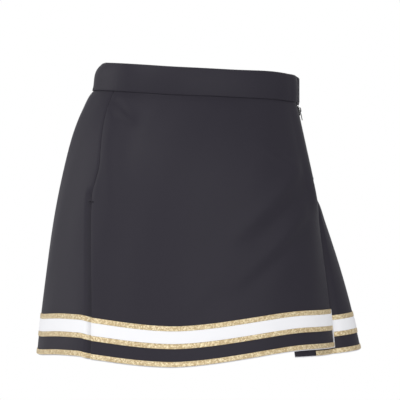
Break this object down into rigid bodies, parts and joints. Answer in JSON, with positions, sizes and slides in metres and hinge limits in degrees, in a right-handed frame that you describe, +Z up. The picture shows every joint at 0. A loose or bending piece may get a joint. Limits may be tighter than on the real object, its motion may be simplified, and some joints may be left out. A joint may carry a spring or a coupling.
{
  "type": "cheer uniform skirt",
  "caption": "Knit A-line cheerleading skirt with folded waistband, side zip under a snap lap, two side pleats and braid around the hem.",
  "frame": {"origin": "middle of the waist opening, level with the waist seam", "axes": "+Z up out of the waist, the front faces -Y, +X is the wearer's left, where the zip is"},
  "size_m": [0.4299, 0.3082, 0.39],
  "materials": {
    "black_knit": "double knit, matt",
    "interfacing": "non-woven",
    "elastic": "ribbed",
    "gold_braid": "metallic braid",
    "white_braid": "flat braid",
    "white_facing": "plain woven tape",
    "ribbon": "satin",
    "label": "satin, blank",
    "zip_tape": "woven tape",
    "zip_teeth": "coil",
    "slider_metal": "black enamel",
    "snap_metal": "nickel"
  },
  "bodies": {
    "skirt": {"front_panel": "black_knit", "back_panel": "black_knit", "pleat_insert_left": "black_knit", "pleat_insert_right": "black_knit", "waistband_front": "black_knit", "waistband_back": "black_knit", "waistband_interfacing_front": "interfacing", "waist_elastic_back": "elastic", "trim_gold_upper_front": "gold_braid", "trim_gold_middle_front": "gold_braid", "trim_gold_hem_front": "gold_braid", "trim_gold_upper_back": "gold_braid", "trim_gold_middle_back": "gold_braid", "trim_gold_hem_back": "gold_braid", "trim_white_front": "white_braid", "trim_white_back": "white_braid", "hem_facing_front": "white_facing", "hem_facing_back": "white_facing", "zip_tape_front": "zip_tape", "zip_tape_back": "zip_tape", "zip_teeth_front": "zip_teeth", "zip_teeth_back": "zip_teeth", "zip_top_stop_front": "slider_metal", "zip_top_stop_back": "slider_metal", "zip_bottom_stop": "slider_metal", "snap_stud_upper": "snap_metal", "snap_stud_lower": "snap_metal", "size_label": "label"},
    "slider": {"zip_slider_body": "slider_metal"},
    "pull": {"zip_pull_tab": "slider_metal"},
    "lap": {"closure_tab": "black_knit", "snap_socket_upper": "snap_metal", "snap_socket_lower": "snap_metal"},
    "loop_left": {"hanger_loop_left": "ribbon"},
    "loop_right": {"hanger_loop_right": "ribbon"},
    "care_flap": {"care_label": "label"}
  },
  "joints": [
    {"name": "zip_slide", "type": "slide", "parent": "skirt", "child": "slider", "axis": [0.0927, -0.2843, -0.9543], "range_m": [0, 0.085]},
    {"name": "pull_tab_swing", "type": "hinge", "parent": "slider", "child": "pull", "pos_m": [0.13344, -0.03928, -0.01789], "axis": [-0.4575, -0.8634, 0.2128], "range_deg": [0, 150]},
    {"name": "closure_tab_swing", "type": "hinge", "parent": "skirt", "child": "lap", "pos_m": [0.12757, -0.04491, 0.00984], "axis": [0, 0, -1], "range_deg": [0, 100]},
    {"name": "hanger_loop_left_swing", "type": "hinge", "parent": "skirt", "child": "loop_left", "pos_m": [-0.12671, 0.02914, 0.01095], "axis": [-0.3276, -0.9448, 0], "range_deg": [0, 150]},
    {"name": "hanger_loop_right_swing", "type": "hinge", "parent": "skirt", "child": "loop_right", "pos_m": [0.12671, 0.02914, -0.00175], "axis": [-0.3276, 0.9448, 0], "range_deg": [0, 150]},
    {"name": "care_label_flip", "type": "hinge", "parent": "skirt", "child": "care_flap", "pos_m": [-0.09194, 0.06987, 0.01098], "axis": [-0.8831, -0.4693, 0], "range_deg": [0, 50]}
  ]
}
